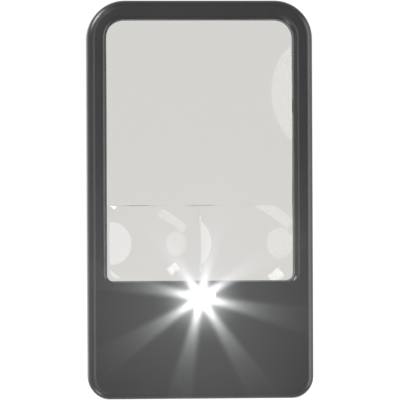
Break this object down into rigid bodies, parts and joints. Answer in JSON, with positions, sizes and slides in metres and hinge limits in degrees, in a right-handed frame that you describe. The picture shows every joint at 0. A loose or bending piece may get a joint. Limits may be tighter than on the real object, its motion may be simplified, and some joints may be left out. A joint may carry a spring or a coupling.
{
  "type": "lighted page magnifier",
  "caption": "Flat rectangular pocket magnifier with a clear window of stepped lens zones and a lit LED lamp in its handle.",
  "frame": {"origin": "centre of the lower edge's footprint, on the plane of the seam between the two covers", "axes": "+Z runs along the magnifier from the handle's end to the window's end, +X across it, and -Y out of the page side, which has the lamp's notch"},
  "size_m": [0.062, 0.011, 0.1094],
  "materials": {
    "case_plastic": "fine satin moulded texture",
    "knob_plastic": "satin, ribbed",
    "lens_acrylic": "polished optical acrylic, faintly grey",
    "led_epoxy": "clear moulded epoxy",
    "led_phosphor": "lit phosphor",
    "lead_wire": "tinned",
    "reflector": "bright white moulding",
    "board": "solder mask over glass fibre",
    "resistor_ceramic": "glazed ceramic",
    "solder_tin": "tinned",
    "switch_steel": "plated sheet",
    "switch_phenolic": "moulded phenolic",
    "switch_nylon": "moulded nylon",
    "contact_metal": "nickel-plated spring strip",
    "cell_steel": "pressed stainless steel",
    "cell_seal": "moulded polypropylene",
    "wire_sleeve": "soft vinyl",
    "screw_steel": "black zinc plate"
  },
  "bodies": {
    "case": {"front_cover": "case_plastic", "rear_cover": "case_plastic", "lens": "lens_acrylic", "led_dome": "led_epoxy", "led_phosphor": "led_phosphor", "led_anode": "lead_wire", "led_cathode": "lead_wire", "switch_terminals": "lead_wire", "led_holder": "reflector", "circuit_board": "board", "resistor_body": "resistor_ceramic", "resistor_ends": "solder_tin", "switch_can": "switch_steel", "switch_base": "switch_phenolic", "negative_contact": "contact_metal", "bridge_contact": "contact_metal", "positive_contact": "contact_metal", "cell_left_can": "cell_steel", "cell_left_cap": "cell_steel", "cell_right_can": "cell_steel", "cell_right_cap": "cell_steel", "cell_left_seal": "cell_seal", "cell_right_seal": "cell_seal", "black_wire": "wire_sleeve", "case_screws": "screw_steel"},
    "switch": {"switch_knob": "knob_plastic", "switch_slider": "switch_nylon", "switch_wiper": "contact_metal"},
    "door": {"battery_door": "case_plastic"}
  },
  "joints": [
    {"name": "switch_slide", "type": "slide", "parent": "case", "child": "switch", "axis": [1, 0, 0], "range_m": [0, 0.002]},
    {"name": "battery_door_hinge", "type": "hinge", "parent": "case", "child": "door", "pos_m": [0, 0.00465, 0.0229], "axis": [1, 0, 0], "range_deg": [0, 70]}
  ]
}
